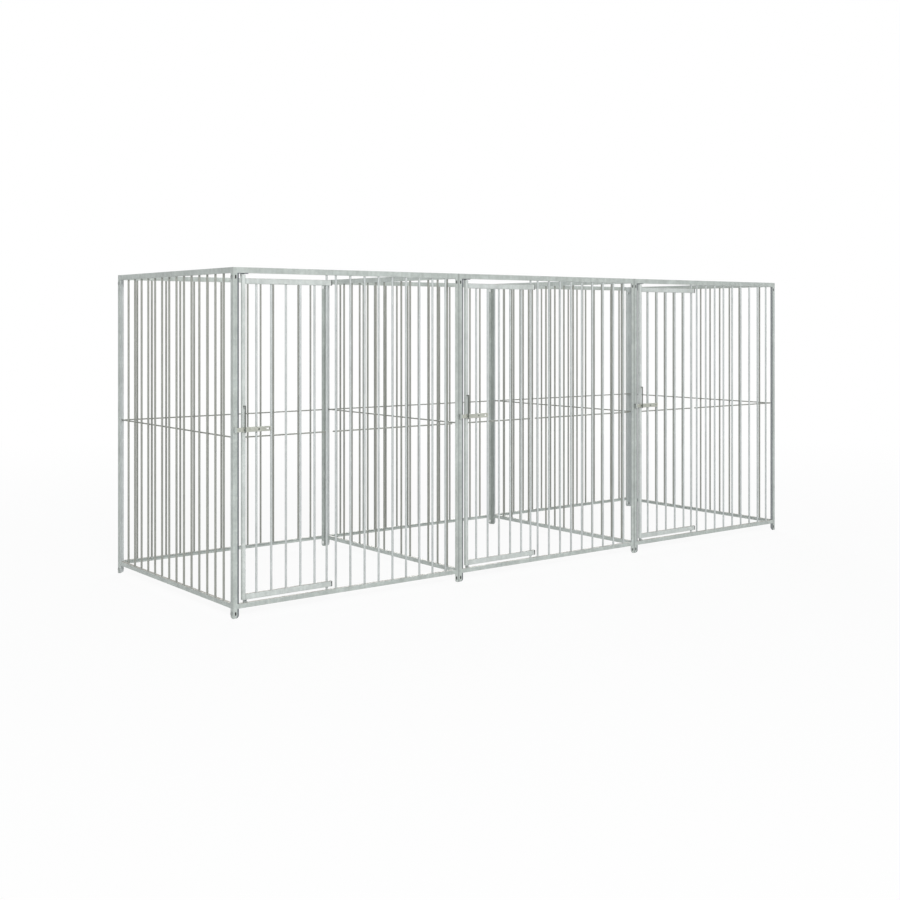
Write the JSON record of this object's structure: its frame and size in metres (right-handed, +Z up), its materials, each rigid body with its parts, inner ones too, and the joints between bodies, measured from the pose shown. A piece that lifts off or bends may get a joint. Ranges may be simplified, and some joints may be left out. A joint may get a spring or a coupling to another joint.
{
  "type": "outdoor dog kennel run",
  "caption": "Outdoor dog kennel run in galvanised steel: barred bays in a row, each with a hinged barred door and a slide bolt, open at the top.",
  "frame": {"origin": "bottom centre of the whole run, on the ground", "axes": "+X to the right along the front, +Y from the front to the back, +Z up"},
  "size_m": [4.5106, 1.519, 1.84],
  "materials": {
    "frame_zinc": "matt galvanised zinc",
    "nested_post_zinc": "matt galvanised zinc",
    "bar_zinc": "matt galvanised zinc",
    "inner_bar_zinc": "duller galvanised zinc",
    "door_zinc": "matt galvanised zinc",
    "latch_steel": "zinc plated, slightly warm",
    "handle_steel": "dark zinc",
    "fastener_steel": "zinc plated",
    "cap_plastic": "black moulded plastic"
  },
  "bodies": {
    "run_frame": {"front_posts_1": "frame_zinc", "front_posts_2": "frame_zinc", "front_posts_3": "frame_zinc", "front_rails_1": "frame_zinc", "front_rails_2": "frame_zinc", "front_rails_3": "frame_zinc", "front_bars_1": "bar_zinc", "front_bars_2": "bar_zinc", "front_bars_3": "bar_zinc", "back_posts_1": "frame_zinc", "back_posts_2": "frame_zinc", "back_posts_3": "frame_zinc", "back_rails_1": "frame_zinc", "back_rails_2": "frame_zinc", "back_rails_3": "frame_zinc", "back_bars_1": "inner_bar_zinc", "back_bars_2": "inner_bar_zinc", "back_bars_3": "inner_bar_zinc", "left_end_posts": "nested_post_zinc", "divider_1_posts": "nested_post_zinc", "divider_2_posts": "nested_post_zinc", "right_end_posts": "nested_post_zinc", "left_end_rails": "frame_zinc", "divider_1_rails": "frame_zinc", "divider_2_rails": "frame_zinc", "right_end_rails": "frame_zinc", "left_end_bars": "inner_bar_zinc", "divider_1_bars": "inner_bar_zinc", "divider_2_bars": "inner_bar_zinc", "right_end_bars": "inner_bar_zinc", "frame_rods": "inner_bar_zinc", "slot_plugs": "cap_plastic", "door_stops": "nested_post_zinc", "keepers": "frame_zinc", "joining_bolts": "fastener_steel", "joining_nuts": "fastener_steel"},
    "door_1": {"door_stile_1": "door_zinc", "door_rails_1": "door_zinc", "door_bars_1": "bar_zinc", "door_rod_1": "inner_bar_zinc", "door_caps_1": "cap_plastic", "latch_guide_1": "latch_steel"},
    "door_2": {"door_stile_2": "door_zinc", "door_rails_2": "door_zinc", "door_bars_2": "bar_zinc", "door_rod_2": "inner_bar_zinc", "door_caps_2": "cap_plastic", "latch_guide_2": "latch_steel"},
    "door_3": {"door_stile_3": "door_zinc", "door_rails_3": "door_zinc", "door_bars_3": "bar_zinc", "door_rod_3": "inner_bar_zinc", "door_caps_3": "cap_plastic", "latch_guide_3": "latch_steel"},
    "bolt_1": {"slide_bolt_1": "latch_steel", "bolt_handle_1": "handle_steel"},
    "bolt_2": {"slide_bolt_2": "latch_steel", "bolt_handle_2": "handle_steel"},
    "bolt_3": {"slide_bolt_3": "latch_steel", "bolt_handle_3": "handle_steel"}
  },
  "joints": [
    {"name": "door_swing_1", "type": "hinge", "parent": "run_frame", "child": "door_1", "pos_m": [-1.67, -0.7305, 0.082], "axis": [0, 0, 1], "range_deg": [0, 150]},
    {"name": "door_swing_2", "type": "hinge", "parent": "run_frame", "child": "door_2", "pos_m": [-0.17, -0.7305, 0.082], "axis": [0, 0, 1], "range_deg": [0, 150]},
    {"name": "door_swing_3", "type": "hinge", "parent": "run_frame", "child": "door_3", "pos_m": [1.33, -0.7305, 0.082], "axis": [0, 0, 1], "range_deg": [0, 150]},
    {"name": "bolt_slide_1", "type": "slide", "parent": "door_1", "child": "bolt_1", "axis": [1, 0, 0], "range_m": [-0.016, 0.03]},
    {"name": "bolt_slide_2", "type": "slide", "parent": "door_2", "child": "bolt_2", "axis": [1, 0, 0], "range_m": [-0.016, 0.03]},
    {"name": "bolt_slide_3", "type": "slide", "parent": "door_3", "child": "bolt_3", "axis": [1, 0, 0], "range_m": [-0.016, 0.03]}
  ]
}
